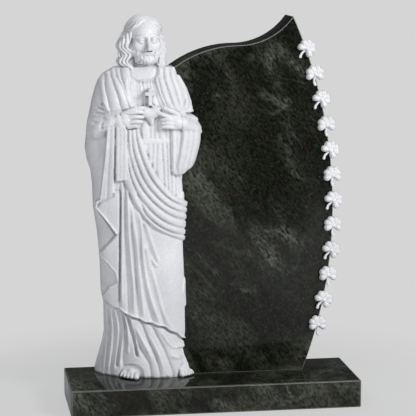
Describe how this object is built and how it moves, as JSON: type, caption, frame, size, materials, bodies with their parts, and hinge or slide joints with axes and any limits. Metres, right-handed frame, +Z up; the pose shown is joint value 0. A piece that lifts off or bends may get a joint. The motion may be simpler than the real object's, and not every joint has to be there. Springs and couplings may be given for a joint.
{
  "type": "figure headstone with shamrock edge",
  "caption": "Free-standing granite headstone: flame-topped slab on a plinth, robed marble figure at its left, shamrocks down its right edge.",
  "frame": {"origin": "middle of the base's underside, on the ground", "axes": "+Z up, -Y out of the front that carries the shamrocks and towards which the figure looks, +X to the right seen from the front"},
  "size_m": [1.067, 0.356, 1.4384],
  "materials": {
    "granite": "polished dark green granite with light veins and red specks",
    "marble": "fine matt white marble"
  },
  "bodies": {
    "root": {"base": "granite", "slab": "granite", "figure": "marble", "shamrock_01": "marble", "shamrock_02": "marble", "shamrock_03": "marble", "shamrock_04": "marble", "shamrock_05": "marble", "shamrock_06": "marble", "shamrock_07": "marble", "shamrock_08": "marble", "shamrock_09": "marble", "shamrock_10": "marble", "shamrock_11": "marble", "shamrock_12": "marble"}
  },
  "joints": []
}
